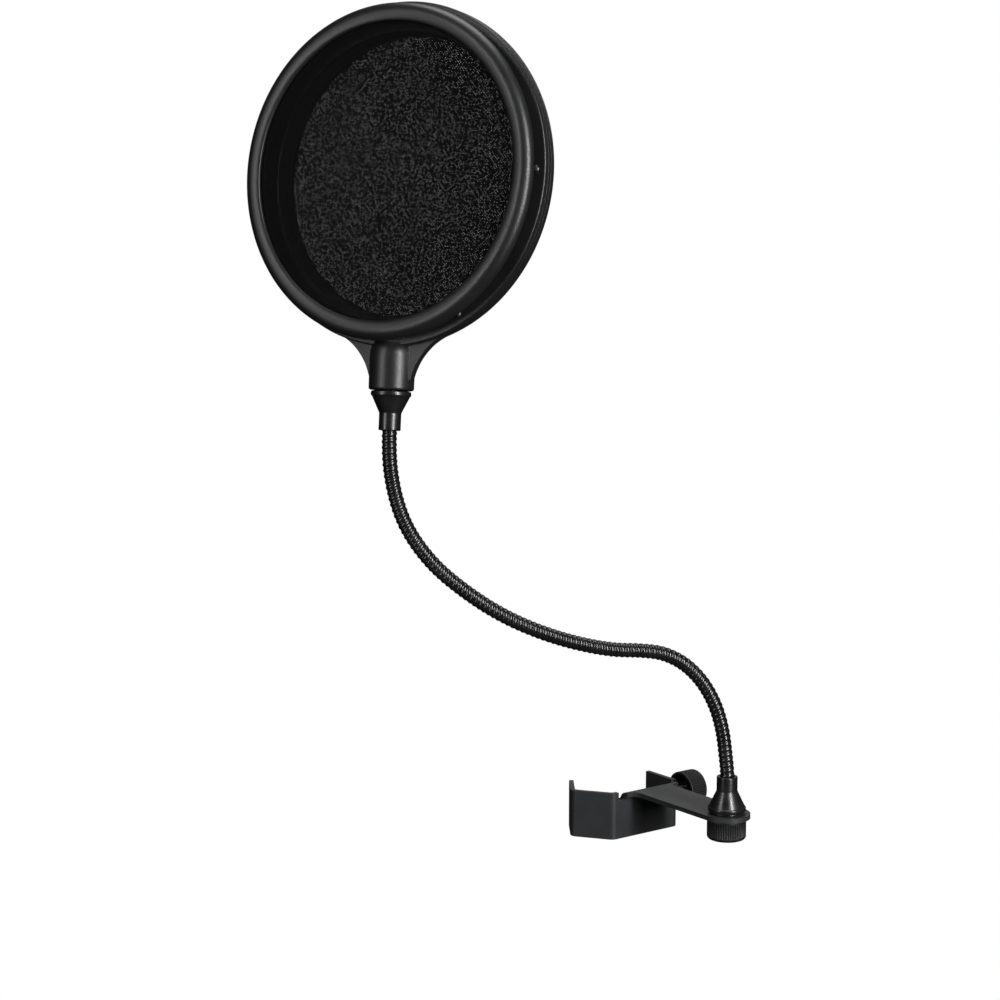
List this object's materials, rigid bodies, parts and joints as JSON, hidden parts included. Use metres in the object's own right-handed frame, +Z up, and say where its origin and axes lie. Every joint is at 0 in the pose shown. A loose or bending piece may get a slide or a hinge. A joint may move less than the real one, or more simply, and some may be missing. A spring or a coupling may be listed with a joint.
{
  "type": "pop filter",
  "caption": "Pop filter for a microphone stand: two nylon screens in round plastic rings on a coiled gooseneck, with a bent steel V-jaw clamp, thumbscrew and threaded collars.",
  "frame": {"origin": "on the axis of the stand tube that the clamp holds, at half the height of the clamp's steel strip", "axes": "+Z up along the stand tube; +X along the thumbscrew, from the V jaw to the knob"},
  "size_m": [0.263, 0.1797, 0.4626],
  "materials": {
    "ring_plastic": "matte",
    "knob_plastic": "satin",
    "black_nylon": "matte",
    "black_metal": "gloss",
    "powder_coat": "satin",
    "screw_steel": "satin"
  },
  "bodies": {
    "clamp": {"clamp_bracket": "powder_coat", "clamp_nut": "screw_steel"},
    "pad": {"pressure_pad": "knob_plastic"},
    "thumbscrew": {"clamp_screw": "screw_steel", "clamp_knob": "knob_plastic"},
    "gooseneck_base": {"lower_collar": "black_metal", "lower_stud": "screw_steel", "collar_washer": "black_metal", "gooseneck_1": "black_metal"},
    "stud_washer": {"tab_washer": "screw_steel"},
    "stud_nut": {"tab_nut": "knob_plastic"},
    "gooseneck_2_body": {"gooseneck_2": "black_metal"},
    "gooseneck_3_body": {"gooseneck_3": "black_metal"},
    "gooseneck_4_body": {"gooseneck_4": "black_metal"},
    "gooseneck_5_body": {"gooseneck_5": "black_metal"},
    "gooseneck_6_body": {"gooseneck_6": "black_metal"},
    "gooseneck_7_body": {"gooseneck_7": "black_metal"},
    "gooseneck_8_body": {"gooseneck_8": "black_metal", "upper_collar": "black_metal", "upper_stud": "screw_steel"},
    "head": {"frame_screw_1": "screw_steel", "frame_screw_2": "screw_steel", "frame_screw_3": "screw_steel", "frame_screw_4": "screw_steel", "frame_screw_5": "screw_steel", "front_ring": "ring_plastic", "front_screen": "black_nylon", "front_screen_hoop": "ring_plastic", "neck_nut": "screw_steel", "neck_screw": "screw_steel", "rear_frame_back": "ring_plastic", "rear_frame_front": "ring_plastic", "rear_screen": "black_nylon", "rear_screen_hoop": "ring_plastic", "spacer_pin_1": "ring_plastic", "spacer_pin_2": "ring_plastic", "spacer_pin_3": "ring_plastic", "spacer_pin_4": "ring_plastic", "spacer_pin_5": "ring_plastic", "spacer_pin_6": "ring_plastic"}
  },
  "joints": [
    {"name": "base_swivel", "type": "hinge", "parent": "clamp", "child": "gooseneck_base", "pos_m": [0.025, -0.0867, 0], "axis": [0, 0, 1], "continuous": true},
    {"name": "bend_1", "type": "hinge", "parent": "gooseneck_base", "child": "gooseneck_2_body", "pos_m": [0.02061, -0.08478, 0.0664], "axis": [0.3964, 0.9181, 0.0031], "range_deg": [-20, 20]},
    {"name": "bend_2", "type": "hinge", "parent": "gooseneck_2_body", "child": "gooseneck_3_body", "pos_m": [0.00099, -0.07602, 0.09882], "axis": [-0.5264, 0.2278, -0.8192], "range_deg": [-20, 20]},
    {"name": "bend_3", "type": "hinge", "parent": "gooseneck_3_body", "child": "gooseneck_4_body", "pos_m": [-0.034, -0.0614, 0.108], "axis": [0.3679, 0.9299, 0.0044], "range_deg": [-20, 20]},
    {"name": "bend_4", "type": "hinge", "parent": "gooseneck_4_body", "child": "gooseneck_5_body", "pos_m": [-0.06944, -0.04723, 0.11836], "axis": [0.3309, -0.1432, 0.9327], "range_deg": [-20, 20]},
    {"name": "bend_5", "type": "hinge", "parent": "gooseneck_5_body", "child": "gooseneck_6_body", "pos_m": [-0.10178, -0.03353, 0.1365], "axis": [-0.3833, -0.9236, -0.0103], "range_deg": [-20, 20]},
    {"name": "bend_6", "type": "hinge", "parent": "gooseneck_6_body", "child": "gooseneck_7_body", "pos_m": [-0.12909, -0.0214, 0.16232], "axis": [-0.7089, 0.3069, -0.6351], "range_deg": [-20, 20]},
    {"name": "bend_7", "type": "hinge", "parent": "gooseneck_7_body", "child": "gooseneck_8_body", "pos_m": [-0.14422, -0.01312, 0.19749], "axis": [-0.4059, -0.9127, 0.0468], "range_deg": [-20, 20]},
    {"name": "head_swivel", "type": "hinge", "parent": "gooseneck_8_body", "child": "head", "pos_m": [-0.14463, -0.01152, 0.25023], "axis": [0.1129, 0.0805, 0.9903], "range_deg": [-180, 180]},
    {"name": "pad_travel", "type": "slide", "parent": "clamp", "child": "pad", "axis": [1, 0, 0], "range_m": [-0.01, 0.028]},
    {"name": "thumbscrew_turn", "type": "hinge", "parent": "pad", "child": "thumbscrew", "pos_m": [0, 0, 0], "axis": [1, 0, 0], "range_deg": [-3600, 10080]},
    {"name": "stud_washer_drop", "type": "slide", "parent": "gooseneck_base", "child": "stud_washer", "axis": [0, 0, -1], "range_m": [0, 0.003]},
    {"name": "stud_nut_turn", "type": "hinge", "parent": "stud_washer", "child": "stud_nut", "pos_m": [0.025, -0.0867, 0], "axis": [0, 0, -1], "range_deg": [0, 864]}
  ],
  "couplings": [
    {"joint": "pad_travel", "follows": "thumbscrew_turn", "m_per_rad": 0.00015915},
    {"joint": "stud_washer_drop", "follows": "stud_nut_turn", "m_per_rad": 0.00019894}
  ]
}
